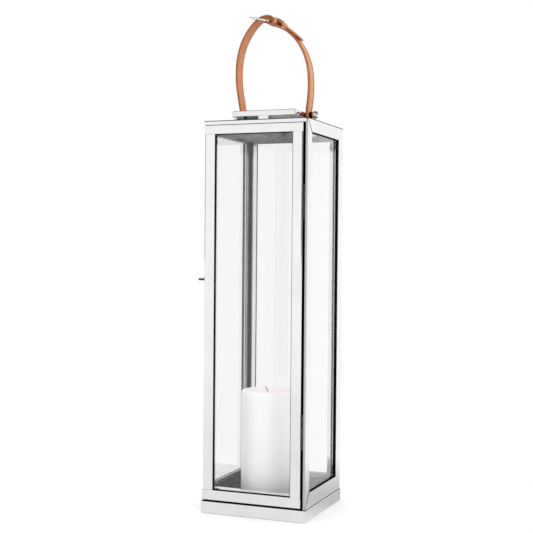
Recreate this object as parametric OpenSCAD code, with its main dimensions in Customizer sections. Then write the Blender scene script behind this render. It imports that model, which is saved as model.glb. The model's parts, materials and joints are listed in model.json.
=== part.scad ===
// Tall glazed candle lantern: a square polished steel body on a plinth, three
// fixed glass sides, one hinged glass door, a raised vent cap over the roof and
// a buckled leather handle that swings on two ball-ended bolts.
// Origin: centre of the base, on the ground. +Z is up and the door faces -Y.

/* [Body] */
// Side of the square plinth
plinth_w = 205; // [204:0.5:210]
// Height of the plinth, with the felt under it
plinth_h = 22.5; // [18:0.5:28]
// Side of the square body
body_w = 202; // [200:0.5:203]
// Height of the roof's top face above the ground
roof_top = 723.3; // [650:1:800]
// Thickness of the flat frame bars
frame_t = 4; // [3.5:0.1:4.5]
// Width of a side frame's front post
front_post_w = 22; // [21:0.5:23]
// Width of a side frame's rear post, and of the back frame's posts
rear_post_w = 24; // [23:0.5:25]
// Height of the frames' bottom rails
bottom_rail_h = 27.8; // [26:0.2:30]
// Height of the frames' top rails, with the roof's edge
top_rail_h = 23.8; // [22:0.2:26]

/* [Door] */
// Overall thickness of the door
door_t = 13; // [13:0.1:13.4]
// Width of the door's left stile, at the knob
left_stile_w = 21; // [20:0.5:22]
// Width of the door's right stile, at the hinges
right_stile_w = 19.4; // [18:0.2:20]
// Height of the door's top rail
door_top_h = 15.8; // [15:0.2:17]
// Height of the door's bottom rail
door_bottom_h = 18.1; // [17:0.2:19]
// Gap between the door's edge and the hinge post
hinge_gap = 4.8; // [4.8:0.1:5.2]
// Length of one hinge
hinge_len = 62; // [50:1:70]

/* [Roof and cap] */
// Side of the square roof plate
roof_w = 203; // [203:0.5:206]
// Side of the square cap
cap_w = 125; // [120:1:130]
// Height of the cap's folded edge
cap_h = 10; // [10:0.5:12]
// Gap between the roof and the cap
cap_gap = 11.3; // [8:0.1:14]
// Side of the square vent hole under the cap
vent_w = 60; // [50:1:80]

/* [Handle] */
// Width of the strap
strap_w = 30; // [25:1:32]
// Thickness of the strap
strap_t = 3.8; // [3.4:0.1:4]
// Radius of the ball nuts
ball_r = 7.5; // [7:0.1:9]

/* [Candle] */
// Diameter of the candle
candle_d = 100; // [70:1:110]
// Height of the candle
candle_h = 198; // [100:1:220]
// How far the candle stands to the left of the middle
candle_left = 11; // [0:1:20]

/* [Hidden] */
$fn = 48;
half_body = body_w / 2;
half_cap = cap_w / 2;
eps = 0.01;

// Plinth, floor and roof
felt_t = 1;
felt_w = 200;
plinth_wall = 1.2;
core_play = 0.2;
floor_t = 1.5;
roof_t = 1.5;
liner_t = 1;
liner_play = 0.5;
frame_top = roof_top - roof_t;
inner_half = half_body - frame_t;
floor_z = plinth_h + floor_t;

// The front: the door, the clearances around it and what it closes against
door_gap_below = 3;
door_gap_above = 1;
closing_gap = 0.4;
header_h = 6;
door_front = -half_body;
door_back = door_front + door_t;
stop_y = door_back + closing_gap;
door_right = inner_half - hinge_gap;
door_top = frame_top - header_h - door_gap_above;
door_low = plinth_h + door_gap_below;
sill_depth = 12;
sill_top = 45.6;
sill_lean = 1.3;
sill_lean_h = 5;
header_lip = 3.2;
stop_t = 2;
stop_w = 9;
threshold_t = 2;
threshold_setback = 1;

// Openings of the four frames, each [left, bottom, right, top] in its own face
open_low = plinth_h + bottom_rail_h;
open_top = roof_top - top_rail_h;
right_outer = [-half_body, plinth_h, half_body, frame_top];
right_open = [-half_body + front_post_w, open_low, half_body - rear_post_w, open_top];
left_outer = [stop_y, plinth_h, half_body, frame_top];
left_open = [stop_y + front_post_w, open_low, half_body - rear_post_w, open_top];
back_outer = [-inner_half, plinth_h, inner_half, frame_top];
back_open = [-half_body + rear_post_w, open_low, half_body - rear_post_w, open_top];
door_outer = [-half_body, door_low, door_right, door_top];
door_open = [-half_body + left_stile_w, door_low + door_bottom_h,
             door_right - right_stile_w, door_top - door_top_h];

// Glazing: how deep the glass sits and what holds it
glass_t = 3;
glass_lap = 5;
rebate = 5.3;
seal_t = 1.2;
seal_lip = 1.3;
seal_start = 1;
bead_t = 2;
// The beads' inner edges reach a little past the seals
bead_reach = 0.4;
bead_sight = seal_lip + bead_reach;
door_bead_sight = 0.5;
door_lip = 4.8;
door_seal_t = 1;
stile_round = 4;

// Hinges
knuckle_r = 2.1;
pin_r = 1;
bore_r = 1.06;
leaf_t = 1;
hinge_x = inner_half - hinge_gap / 2;
hinge_y = door_front + 1.7;
leaf_start = 2.5;
post_leaf_w = 8.2;
door_leaf_w = 7.8;
knuckle_count = 3;
knuckle_play = 0.4;
pin_head_r = 1.8;
pin_head_h = 1;
hinge_low = 131.5;
hinge_high = 541.5;
screw_y = 6.3;
screw_rows = [10, 31, 52];
screw_r = 1.1;
screw_hole_r = 1.15;
screw_head_r = 1.8;
screw_head_h = 0.8;
screw_len = 3;
screw_hole_len = 3.2;

// Turn latch: a thumb-turn on the door's edge, its claw inside the stile, and the
// pin on the body that the claw closes round. Angles run from +Y towards +Z.
latch_z = 432;
latch_y = door_front + 6.5;
latch_swing = 75;
spindle_r = 1.5;
spindle_play = 0.05;
paddle_len = 12.5;
paddle_w = 10;
paddle_t = 3.8;
collar_r = 4.2;
collar_t = 1.2;
flare_len = 4;
claw_t = 2.8;
claw_x = -inner_half + 0.4;
claw_hub_r = 2.9;
claw_in = 11.1;
claw_out = 13.3;
claw_lead = 10;
claw_trail = 35;
claw_arm_w = 2.4;
pocket_play = 0.5;
catch_pin_r = 1.2;
catch_reach = 9.5;
catch_pin_hole = 3;
catch_pin_end = -93.6;

// Cap, its legs and the handle's bolts
cap_t = 1.2;
leg_w = 20;
leg_foot = 10;
cap_low = roof_top + cap_gap;
cap_top = cap_low + cap_h;
pivot_z = cap_low + cap_h / 2;
bolt_r = 2;
bolt_hole_r = 2.06;
spacer_t = 2;
spacer_r = 5;
washer_t = 4.3;
washer_r = 6;
nut_flat = 7;
nut_t = 3;
thread_len = 9;
pivot_x = half_cap + spacer_t + strap_t / 2;

// The strap's curves. Headings are degrees from +Z towards +X, and each stretch
// is [length, turn]. Both straps start under their bolt and run upwards.
end_drop = strap_w / 2;
grip_run = end_drop + 6;
short_run = [[grip_run, 0], [9, 9], [58, -13], [47, -21], [93, -52]];
long_run = [[grip_run, 0], [9, -10], [30, 0], [57, 15], [39, 17], [39, 21]];
arc_step = 3;
bar_r = 2.2;
bar_play = 0.1;
wrap_steps = 12;
bridge_pull = 15;
fold_len = 20;
tail_len = 50;
tail_drop = 3.7;
tail_drop_run = 14;
tip_len = 24;
tip_taper = 15;
tip_half_w = 5;
layer_gap = 0.15;
snug_play = 0.05;
root_lift = 1;
root_run = 10;
keeper_at = 14;
keeper_w = 7;
keeper_t = 1.8;
keeper_play = 0.25;

// Buckle
buckle_tilt = 11.5;
buckle_len = 36;
buckle_inner_w = strap_w + 1.8;
buckle_hole_r = 3;
buckle_arm_w = 4;
buckle_t = 3.6;
buckle_corner = 6;
prong_w = 3;
prong_t = 2;
prong_ring_r = 3.9;
prong_play = 0.5;

// Candle
candle_edge = 3;
candle_dip = 4;
candle_rim = 7;
wick_r = 1.1;
wick_len = 9;
wick_sunk = 12;

// ---- Flat frames and glazing ----

// One mitred bar of a flat frame, o and i being its outer and inner outlines
module mitred_bar(side, o, i) {
    polygon(side == "left" ? [[o[0], o[1]], [i[0], i[1]], [i[0], i[3]], [o[0], o[3]]]
          : side == "right" ? [[o[2], o[1]], [o[2], o[3]], [i[2], i[3]], [i[2], i[1]]]
          : side == "top" ? [[o[0], o[3]], [i[0], i[3]], [i[2], i[3]], [o[2], o[3]]]
          : [[o[0], o[1]], [o[2], o[1]], [i[2], i[1]], [i[0], i[1]]]);
}

// An outline grown by g on every side
module area(a, g = 0) {
    translate([a[0] - g, a[1] - g])
        square([a[2] - a[0] + 2 * g, a[3] - a[1] + 2 * g]);
}

module ring(a, out, in) {
    difference() {
        area(a, out);
        area(a, -in);
    }
}

// Stands a flat outline up in one face of the body, from depth inwards by thick
module in_face(face, depth, thick) {
    if (face == "right")
        translate([half_body - depth - thick, 0, 0])
            rotate([90, 0, 90])
                linear_extrude(thick) children();
    if (face == "left")
        translate([-half_body + depth, 0, 0])
            rotate([90, 0, 90])
                linear_extrude(thick) children();
    if (face == "back")
        translate([0, half_body - depth, 0])
            rotate([90, 0, 0])
                linear_extrude(thick) children();
    if (face == "front")
        translate([0, -half_body + depth + thick, 0])
            rotate([90, 0, 0])
                linear_extrude(thick) children();
}

module frame_bar(face, side, o, i) {
    color("gainsboro") in_face(face, 0, frame_t) mitred_bar(side, o, i);
}

// Black channel seal: a thin lining of the frame's inner edge and a flat behind it
module seal(face, a, lip, thick) {
    in_face(face, seal_start, lip - seal_start) ring(a, 0, seal_lip);
    in_face(face, lip, thick) ring(a, glass_lap, seal_lip);
}

module pane(face, a, depth) {
    color("lightcyan", 0.35) in_face(face, depth, glass_t) area(a, glass_lap);
}

module bead(face, a, depth, sight) {
    in_face(face, depth, bead_t) ring(a, glass_lap, sight);
}

pane_depth = frame_t + seal_t;
bead_depth = pane_depth + glass_t;
door_pane_depth = door_lip + door_seal_t;
door_bead_depth = door_pane_depth + glass_t;

module left_front_post() {
    color("gainsboro") difference() {
        in_face("left", 0, frame_t) mitred_bar("left", left_outer, left_open);
        translate([-inner_half - catch_pin_hole, latch_y + catch_reach, latch_z])
            rotate([0, 90, 0])
                cylinder(r = catch_pin_r + spindle_play, h = catch_pin_hole + 1);
    }
}
module left_rear_post() frame_bar("left", "right", left_outer, left_open);
module left_top_rail() frame_bar("left", "top", left_outer, left_open);
module left_bottom_rail() frame_bar("left", "bottom", left_outer, left_open);

module right_front_post() {
    color("gainsboro") difference() {
        in_face("right", 0, frame_t) mitred_bar("left", right_outer, right_open);
        post_screw_sites() cylinder(r = screw_hole_r, h = screw_hole_len);
    }
}
module right_rear_post() frame_bar("right", "right", right_outer, right_open);
module right_top_rail() frame_bar("right", "top", right_outer, right_open);
module right_bottom_rail() frame_bar("right", "bottom", right_outer, right_open);

module back_left_post() frame_bar("back", "left", back_outer, back_open);
module back_right_post() frame_bar("back", "right", back_outer, back_open);
module back_top_rail() frame_bar("back", "top", back_outer, back_open);
module back_bottom_rail() frame_bar("back", "bottom", back_outer, back_open);

module left_glass() pane("left", left_open, pane_depth);
module right_glass() pane("right", right_open, pane_depth);
module back_glass() pane("back", back_open, pane_depth);

module glazing_seals() {
    color("black") {
        seal("left", left_open, frame_t, seal_t);
        seal("right", right_open, frame_t, seal_t);
        seal("back", back_open, frame_t, seal_t);
    }
}

module glazing_beads() {
    color("silver") {
        bead("left", left_open, bead_depth, bead_sight);
        bead("right", right_open, bead_depth, bead_sight);
        bead("back", back_open, bead_depth, bead_sight);
    }
}

// ---- Plinth and floor ----

module base_plinth() {
    color("gainsboro") difference() {
        translate([-plinth_w / 2, -plinth_w / 2, felt_t])
            cube([plinth_w, plinth_w, plinth_h - felt_t]);
        translate([-plinth_w / 2 + plinth_wall, -plinth_w / 2 + plinth_wall, felt_t - 1])
            cube([plinth_w - 2 * plinth_wall, plinth_w - 2 * plinth_wall,
                  plinth_h - felt_t - plinth_wall + 1]);
    }
}

// Board that fills and weights the plinth
module base_core() {
    core_w = plinth_w - 2 * plinth_wall - core_play;
    color("saddlebrown") translate([-core_w / 2, -core_w / 2, felt_t])
        cube([core_w, core_w, plinth_h - felt_t - plinth_wall]);
}

// Felt sheet that the lantern stands on
module base_felt() {
    color("dimgray") translate([-felt_w / 2, -felt_w / 2, 0])
        cube([felt_w, felt_w, felt_t]);
}

module floor_plate() {
    front = stop_y + sill_depth;
    play = 0.5;
    color("gainsboro") translate([-inner_half + play, front + play, plinth_h])
        cube([2 * (inner_half - play), inner_half - front - 2 * play, floor_t]);
}

// ---- Fixed front members ----

module header_rail() {
    color("gainsboro") {
        translate([-half_body, door_front, frame_top - header_h])
            cube([half_body + inner_half, door_t + closing_gap, header_h]);
        translate([-inner_half, stop_y - eps, open_top])
            cube([2 * inner_half, header_lip + eps, frame_top - open_top]);
    }
}

// Closes the body below the door's glass; the top of its front face leans back
module front_sill() {
    color("gainsboro") translate([-inner_half, stop_y, 0]) rotate([90, 0, 90])
        linear_extrude(2 * inner_half)
            polygon([[0, plinth_h], [sill_depth, plinth_h], [sill_depth, sill_top],
                     [sill_lean, sill_top], [0, sill_top - sill_lean_h]]);
}

// Strip on the plinth that darkens the gap under the door
module threshold_strip() {
    front = door_front + threshold_setback;
    left = -half_body + threshold_setback;
    color("black") translate([left, front, plinth_h])
        cube([inner_half - left, door_t - threshold_setback, threshold_t]);
}

// Strip that closes the hinge gap from behind
module hinge_side_stop() {
    color("black") translate([inner_half - stop_w, stop_y, sill_top])
        cube([stop_w, stop_t, open_top - sill_top]);
}

// ---- Roof and cap ----

module roof_plate() {
    color("gainsboro") difference() {
        translate([-roof_w / 2, -roof_w / 2, frame_top]) cube([roof_w, roof_w, roof_t]);
        translate([-vent_w / 2, -vent_w / 2, frame_top - 1])
            cube([vent_w, vent_w, roof_t + 2]);
    }
}

// Dark sheet under the roof, inside the frames
module roof_liner() {
    front = stop_y + header_lip + liner_play;
    side = inner_half - liner_play;
    color("dimgray") difference() {
        translate([-side, front, frame_top - liner_t]) cube([2 * side, side - front, liner_t]);
        translate([-vent_w / 2, -vent_w / 2, frame_top - liner_t - 1])
            cube([vent_w, vent_w, liner_t + 2]);
    }
}

// Shallow lid, open below, with a hole for each handle bolt
module cap_cover() {
    inner_w = cap_w - 2 * cap_t;
    color("gainsboro") difference() {
        translate([-half_cap, -half_cap, cap_low]) cube([cap_w, cap_w, cap_h]);
        translate([-inner_w / 2, -inner_w / 2, cap_low - 1])
            cube([inner_w, inner_w, cap_h - cap_t + 1]);
        translate([0, 0, pivot_z]) rotate([0, 90, 0])
            cylinder(r = bolt_hole_r, h = cap_w + 2, center = true);
    }
}

// A leg under the middle of each edge, with a foot turned in along the roof
module cap_legs() {
    color("gainsboro") for (turn = [0, 90, 180, 270]) rotate([0, 0, turn])
        translate([-leg_w / 2, -half_cap, roof_top]) {
            cube([leg_w, cap_t, cap_gap]);
            cube([leg_w, leg_foot, cap_t]);
        }
}

// ---- Handle bolts ----

// Places a piece, drawn along +Z, on both bolt axes at the distance x from the middle
module on_both_bolts(x) {
    for (side = [0, 1]) mirror([side, 0, 0])
        translate([x, 0, pivot_z]) rotate([0, 90, 0]) children();
}

bolt_start = half_cap - cap_t - nut_t - 1;
strap_outer_x = half_cap + spacer_t + strap_t;
nut_x = strap_outer_x + washer_t;

module handle_bolts() {
    color("silver") on_both_bolts(bolt_start)
        cylinder(r = bolt_r, h = nut_x + thread_len - bolt_start - 1);
}

module collar(radius, thick) {
    difference() {
        cylinder(r = radius, h = thick);
        translate([0, 0, -1]) cylinder(r = bolt_hole_r, h = thick + 2);
    }
}

module handle_spacers() {
    color("black") on_both_bolts(half_cap) collar(spacer_r, spacer_t);
}

module handle_washers() {
    color("black") on_both_bolts(strap_outer_x) collar(washer_r, washer_t);
}

// Ball with a flat, threaded base
module ball_nuts() {
    flat = ball_r * 0.86;
    color("gainsboro") on_both_bolts(nut_x) difference() {
        translate([0, 0, flat]) sphere(r = ball_r);
        translate([0, 0, -ball_r]) cube([2 * ball_r, 2 * ball_r, 2 * ball_r], center = true);
        translate([0, 0, -1]) cylinder(r = bolt_hole_r, h = thread_len + 1);
    }
}

module cap_nuts() {
    corner_r = nut_flat / sqrt(3);
    color("silver") on_both_bolts(half_cap - cap_t - nut_t) difference() {
        rotate([0, 0, 30]) cylinder(r = corner_r, h = nut_t, $fn = 6);
        translate([0, 0, -1]) cylinder(r = bolt_hole_r, h = nut_t + 2);
    }
}

// ---- Door ----

module door_rebate() {
    in_face("front", door_lip, door_t) area(door_open, rebate);
}

module door_bar(low, high) {
    color("gainsboro") difference() {
        translate([-half_body, door_front, low])
            cube([half_body + door_right, door_t, high - low]);
        door_rebate();
    }
}

// A stile's section, with its outer front edge rounded; it grows towards +X
module stile_section(width) {
    translate([stile_round, 0]) square([width - stile_round, door_t]);
    translate([0, stile_round]) square([stile_round, door_t - stile_round]);
    translate([stile_round, stile_round]) circle(r = stile_round);
}

module stile_bar(width) {
    translate([0, 0, door_open[1]])
        linear_extrude(door_open[3] - door_open[1]) stile_section(width);
}

module door_left_stile() {
    color("gainsboro") difference() {
        translate([-half_body, door_front, 0]) stile_bar(left_stile_w);
        door_rebate();
        latch_axis(-half_body - 1)
            cylinder(r = spindle_r + spindle_play, h = half_body + claw_x + claw_t + 1);
        claw_pocket();
    }
}

module door_right_stile() {
    color("gainsboro") difference() {
        translate([door_right, door_front, 0]) mirror([1, 0, 0]) stile_bar(right_stile_w);
        door_rebate();
        door_screw_sites() cylinder(r = screw_hole_r, h = screw_hole_len);
    }
}

module door_top_rail() door_bar(door_open[3], door_top);
module door_bottom_rail() door_bar(door_low, door_open[1]);
module door_glass() pane("front", door_open, door_pane_depth);
module door_seal() color("black") seal("front", door_open, door_lip, door_seal_t);

module door_bead() {
    color("silver") bead("front", door_open, door_bead_depth, door_bead_sight);
}

// ---- Turn latch ----

// Places a piece, drawn along +Z, on the latch's axis at x
module latch_axis(x) {
    translate([x, latch_y, latch_z]) rotate([0, 90, 0]) children();
}

// Flat thumb-turn with a flared root, and its spindle into the stile
module latch_knob() {
    neck_r = paddle_t / 2;
    flare = collar_r - neck_r;
    round_r = paddle_w / 2;
    color("gainsboro") translate([-half_body, latch_y, latch_z]) {
        rotate([0, -90, 0]) {
            cylinder(r = collar_r, h = collar_t);
            translate([0, 0, collar_t]) rotate_extrude() difference() {
                square([collar_r, flare]);
                translate([collar_r, flare]) circle(r = flare);
            }
        }
        translate([-paddle_len + round_r, -round_r, -paddle_t / 2])
            cube([paddle_len - round_r - collar_t, paddle_w, paddle_t]);
        translate([-paddle_len + round_r, 0, -paddle_t / 2])
            cylinder(r = round_r, h = paddle_t);
        rotate([0, 90, 0]) cylinder(r = spindle_r, h = half_body + claw_x + claw_t);
    }
}

// Section of the claw in y and z, about the spindle, as it lies with the door free
module claw_section() {
    span = claw_lead + claw_trail;
    rotate(-latch_swing - claw_trail) {
        square([claw_out - 1, claw_arm_w]);
        intersection() {
            difference() {
                circle(r = claw_out);
                circle(r = claw_in);
            }
            polygon([[0, 0], [2 * claw_out, 0],
                     [2 * claw_out * cos(span), 2 * claw_out * sin(span)]]);
        }
    }
    circle(r = claw_hub_r);
}

module latch_claw() {
    color("silver") translate([claw_x, latch_y, latch_z]) rotate([90, 0, 90])
        linear_extrude(claw_t) difference() {
            claw_section();
            circle(r = spindle_r + spindle_play / 2);
        }
}

// Room in the stile for the claw to turn, open to the back of the door
module claw_pocket() {
    front = door_front + 1.4;
    low = claw_out + pocket_play;
    high = claw_hub_r + pocket_play;
    translate([claw_x - pocket_play, front, latch_z - low])
        cube([claw_t + 2 * pocket_play, door_back - front + 1, low + high]);
}

module catch_pin() {
    start = -inner_half - catch_pin_hole;
    color("silver") translate([start, latch_y + catch_reach, latch_z]) rotate([0, 90, 0])
        cylinder(r = catch_pin_r, h = catch_pin_end - start);
}

// ---- Hinges ----

knuckle_len = hinge_len / knuckle_count;

module hinge_places() {
    for (z = [hinge_low, hinge_high]) translate([0, 0, z]) children();
}

module knuckle(index) {
    translate([hinge_x, hinge_y, index * knuckle_len + knuckle_play / 2])
        cylinder(r = knuckle_r, h = knuckle_len - knuckle_play);
}

// The strip of leaf that joins a knuckle to its plate
module knuckle_web(index, x) {
    translate([x, hinge_y, index * knuckle_len + knuckle_play / 2])
        cube([leaf_t, leaf_start + eps, knuckle_len - knuckle_play]);
}

module pin_bore() {
    translate([hinge_x, hinge_y, -1]) cylinder(r = bore_r, h = hinge_len + 2);
}

module leaf_plate(x, width) {
    translate([x, hinge_y + leaf_start, 0]) cube([leaf_t, width, hinge_len]);
}

// Screw axes on the hinge post, each starting at the post's face and running into it
module post_screw_sites() {
    hinge_places() for (z = screw_rows)
        translate([inner_half, hinge_y + screw_y, z]) rotate([0, 90, 0]) children();
}

// Screw axes on the door's hinge edge, running into the stile
module door_screw_sites() {
    hinge_places() for (z = screw_rows)
        translate([door_right, hinge_y + screw_y, z]) rotate([0, -90, 0]) children();
}

module hinge_post_leaves() {
    color("silver") difference() {
        hinge_places() {
            leaf_plate(inner_half - leaf_t, post_leaf_w);
            for (index = [0, 2]) {
                knuckle(index);
                knuckle_web(index, inner_half - leaf_t);
            }
        }
        hinge_places() pin_bore();
        post_screw_sites() translate([0, 0, -leaf_t - 1])
            cylinder(r = screw_hole_r, h = leaf_t + 2);
    }
}

module hinge_door_leaves() {
    color("silver") difference() {
        hinge_places() {
            leaf_plate(door_right, door_leaf_w);
            knuckle(1);
            knuckle_web(1, door_right);
        }
        hinge_places() pin_bore();
        door_screw_sites() translate([0, 0, -leaf_t - 1])
            cylinder(r = screw_hole_r, h = leaf_t + 2);
    }
}

module hinge_pins() {
    color("silver") hinge_places() translate([hinge_x, hinge_y, 0]) {
        cylinder(r = pin_r, h = hinge_len);
        translate([0, 0, hinge_len]) cylinder(r = pin_head_r, h = pin_head_h);
        translate([0, 0, -pin_head_h]) cylinder(r = pin_head_r, h = pin_head_h);
    }
}

module leaf_screw() {
    translate([0, 0, -leaf_t - screw_head_h]) cylinder(r = screw_head_r, h = screw_head_h);
    translate([0, 0, -leaf_t - eps]) cylinder(r = screw_r, h = leaf_t + screw_len);
}

module hinge_post_screws() color("silver") post_screw_sites() leaf_screw();
module hinge_door_screws() color("silver") door_screw_sites() leaf_screw();

// ---- Leather handle ----

// Points [x, z, heading] along one stretch that starts at p
function stretch(p, run, turn) =
    let (count = max(2, ceil(run / arc_step)), h = p[2])
    [for (i = [1 : count])
        let (a = turn * i / count, r = turn == 0 ? 0 : run * 180 / (PI * turn))
        turn == 0
            ? [p[0] + run * i / count * sin(h), p[1] + run * i / count * cos(h), h]
            : [p[0] + r * (cos(h) - cos(h + a)), p[1] + r * (sin(h + a) - sin(h)), h + a]];

// The whole path of a list of stretches
function route(points, runs, i = 0) =
    i == len(runs) ? points
    : route(concat(points, stretch(points[len(points) - 1], runs[i][0], runs[i][1])), runs, i + 1);

function last(list) = list[len(list) - 1];
function ahead(p, d) = [p[0] + d * sin(p[2]), p[1] + d * cos(p[2]), p[2]];

// A point moved sideways, to the right of its heading
function aside(p, d) = [p[0] + d * cos(p[2]), p[1] - d * sin(p[2]), p[2]];

// Cubic curve that leaves p and arrives at q along their headings
function bridge(p, q, pull, count) =
    let (a = ahead(p, pull), b = ahead(q, -pull))
    [for (i = [1 : count])
        let (u = i / count, v = 1 - u,
             x = v * v * v * p[0] + 3 * v * v * u * a[0] + 3 * v * u * u * b[0] + u * u * u * q[0],
             z = v * v * v * p[1] + 3 * v * v * u * a[1] + 3 * v * u * u * b[1] + u * u * u * q[1],
             dx = v * v * (a[0] - p[0]) + 2 * v * u * (b[0] - a[0]) + u * u * (q[0] - b[0]),
             dz = v * v * (a[1] - p[1]) + 2 * v * u * (b[1] - a[1]) + u * u * (q[1] - b[1]))
        [x, z, atan2(dx, dz)]];

function smooth(t) = t <= 0 ? 0 : t >= 1 ? 1 : (1 - cos(180 * t)) / 2;
function mix(a, b, t) = a + (b - a) * t;

// The short strap runs up from the right bolt to the buckle's bar, folds round it
// and comes back on its own outer side. s is the distance back from the bar.
short_path = route([[pivot_x, pivot_z - end_drop, 0]], short_run);
bar_end = last(short_path);
wrap_offset = strap_t + 2 * (bar_r + bar_play);
keeper_offset = strap_t + keeper_t + layer_gap;
fold_offset = strap_t + layer_gap;
function fold_out(s) =
    s < root_run ? mix(wrap_offset, keeper_offset, smooth(s / root_run))
    : s < fold_len ? keeper_offset
    : mix(keeper_offset, fold_offset, smooth((s - fold_len) / tail_drop_run));
function tail_out(s) =
    fold_out(s) + strap_t + layer_gap + root_lift * (1 - smooth(s / root_run))
    - tail_drop * smooth((s - fold_len) / tail_drop_run);

// The point of the short strap at the distance s back from the bar, on its last arc
last_run = short_run[4];
last_radius = last_run[0] * 180 / (PI * last_run[1]);
function back_point(s) =
    let (h = bar_end[2], a = -s * 180 / (PI * last_radius))
    [bar_end[0] + last_radius * (cos(h) - cos(h + a)),
     bar_end[1] + last_radius * (sin(h + a) - sin(h)), h + a];

// Headings of the layers above, which run the other way
function fold_point(s) = let (p = aside(back_point(s), fold_out(s))) [p[0], p[1], p[2] + 180];
function tail_point(s) = let (p = aside(back_point(s), tail_out(s))) [p[0], p[1], p[2] + 180];

wrap_path = [for (i = [1 : wrap_steps])
    let (r = wrap_offset / 2, h = bar_end[2], a = 180 * i / wrap_steps)
    [bar_end[0] + r * (cos(h) - cos(h + a)), bar_end[1] + r * (sin(h + a) - sin(h)), h + a]];
fold_path = concat(short_path, wrap_path, [for (s = [2 : 2 : fold_len]) fold_point(s)]);
tail_path = [for (s = [0 : 2 : tail_len]) tail_point(s)];
long_rise = route([[-pivot_x, pivot_z - end_drop, 0]], long_run);
long_path = concat(long_rise,
                   bridge(last(long_rise), tail_path[0], bridge_pull, 14),
                   [for (i = [1 : len(tail_path) - 1]) tail_path[i]],
                   [ahead(last(tail_path), tip_len)]);
bar_centre = aside(bar_end, wrap_offset / 2);

// Heading of a path at its point i, from the points beside it
function chord_heading(path, i) =
    let (a = path[max(i - 1, 0)], b = path[min(i + 1, len(path) - 1)])
    atan2(b[0] - a[0], b[1] - a[1]);

// The outline of a strap that follows a path
module band(path, thick) {
    count = len(path);
    function side_point(i, d) =
        let (h = chord_heading(path, i)) [path[i][0] + d * cos(h), path[i][1] - d * sin(h)];
    polygon(concat([for (i = [0 : count - 1]) side_point(i, thick / 2)],
                   [for (i = [count - 1 : -1 : 0]) side_point(i, -thick / 2)]));
}

// Stands an outline drawn in x and z up as a strap of full width
module strap_width(width) {
    translate([0, width / 2, 0]) rotate([90, 0, 0]) linear_extrude(width) children();
}

// Everything that a strap with a round lower end may fill
module rounded_end() {
    reach = 2 * pivot_x;
    translate([-reach, 0, pivot_z]) rotate([90, 0, 90]) linear_extrude(2 * reach) {
        circle(r = strap_w / 2);
        translate([-strap_w / 2, 0]) square([strap_w, 260]);
    }
}

module strap_bolt_holes() {
    translate([0, 0, pivot_z]) rotate([0, 90, 0])
        cylinder(r = bolt_hole_r, h = 3 * pivot_x, center = true);
}

// Moves a piece to the buckle's own frame: the bar at the origin, the frame along +Z
module at_buckle() {
    translate([bar_centre[0], 0, bar_centre[1]]) rotate([0, -90 + buckle_tilt, 0]) children();
}

prong_seat = bar_r + prong_t / 2;

// The straight shaft of the prong, grown by g
module prong_shaft(g = 0) {
    translate([prong_seat - prong_t / 2 - g, -prong_w / 2 - g, 0])
        cube([prong_t + 2 * g, prong_w + 2 * g, buckle_len + bar_r + g]);
}

// Two slanted cuts that give the strap's tip its point
module tip_cuts() {
    tip = last(long_path);
    wide = strap_w / 2 + 1;
    slope = (strap_w / 2 - tip_half_w) / tip_taper;
    for (side = [0, 1]) mirror([0, side, 0])
        translate([tip[0], 0, tip[1]]) rotate([0, tip[2], 0])
            translate([-strap_t, 0, 0]) rotate([90, 0, 90]) linear_extrude(2 * strap_t)
                polygon([[tip_half_w - slope, 1], [wide, 1],
                         [wide, -tip_taper - 1 / slope]]);
}

module strap_long() {
    color("peru") difference() {
        intersection() {
            strap_width(strap_w) band(long_path, strap_t);
            rounded_end();
        }
        strap_bolt_holes();
        at_buckle() prong_shaft(prong_play);
        tip_cuts();
    }
}

module strap_short() {
    slot = prong_w + 2 * prong_play;
    slot_reach = 8;
    slot_back = 6;
    color("peru") difference() {
        intersection() {
            strap_width(strap_w) band(fold_path, strap_t);
            rounded_end();
        }
        strap_bolt_holes();
        at_buckle() translate([-slot_reach, -slot / 2, -slot_reach])
            cube([2 * slot_reach, slot, slot_reach + slot_back]);
    }
}

// Leather loop round the folded layer and the tail
module keeper_loop() {
    p = back_point(keeper_at);
    low = strap_t / 2 + snug_play;
    high = tail_out(keeper_at) + strap_t / 2 + keeper_play + keeper_t;
    inner_w = strap_w + 2 * keeper_play;
    color("peru") translate([p[0], 0, p[1]]) rotate([0, p[2], 0])
        translate([0, 0, -keeper_w / 2]) difference() {
            translate([low, -inner_w / 2 - keeper_t, 0])
                cube([high - low, inner_w + 2 * keeper_t, keeper_w]);
            translate([low + keeper_t, -inner_w / 2, -1])
                cube([high - low - 2 * keeper_t, inner_w, keeper_w + 2]);
        }
}

// A rectangle with rounded corners, from its low corner
module round_rect(size, r) {
    translate([r, 0]) square([size[0] - 2 * r, size[1]]);
    translate([0, r]) square([size[0], size[1] - 2 * r]);
    for (x = [r, size[0] - r], y = [r, size[1] - r]) translate([x, y]) circle(r = r);
}

// Flat frame with a round bar at the strap's fold
module buckle_frame() {
    out_w = buckle_inner_w + 2 * buckle_arm_w;
    out_l = buckle_len + buckle_arm_w / 2 + bar_r;
    color("gainsboro") at_buckle() {
        rotate([90, 0, 90]) translate([-out_w / 2, -bar_r, -buckle_t / 2])
            linear_extrude(buckle_t) difference() {
                round_rect([out_w, out_l], buckle_corner);
                translate([buckle_arm_w, -buckle_corner])
                    round_rect([buckle_inner_w, out_l + buckle_corner - buckle_arm_w], buckle_hole_r);
            }
        rotate([90, 0, 0])
            cylinder(r = bar_r, h = buckle_inner_w + buckle_arm_w, center = true);
    }
}

// Flat prong that hooks round the bar and rests on the frame's far end
module buckle_prong() {
    color("gainsboro") at_buckle() difference() {
        union() {
            rotate([90, 0, 0]) cylinder(r = prong_ring_r, h = prong_w, center = true);
            prong_shaft();
        }
        rotate([90, 0, 0]) cylinder(r = bar_r + snug_play, h = prong_w + 2, center = true);
    }
}

// ---- Candle ----

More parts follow.
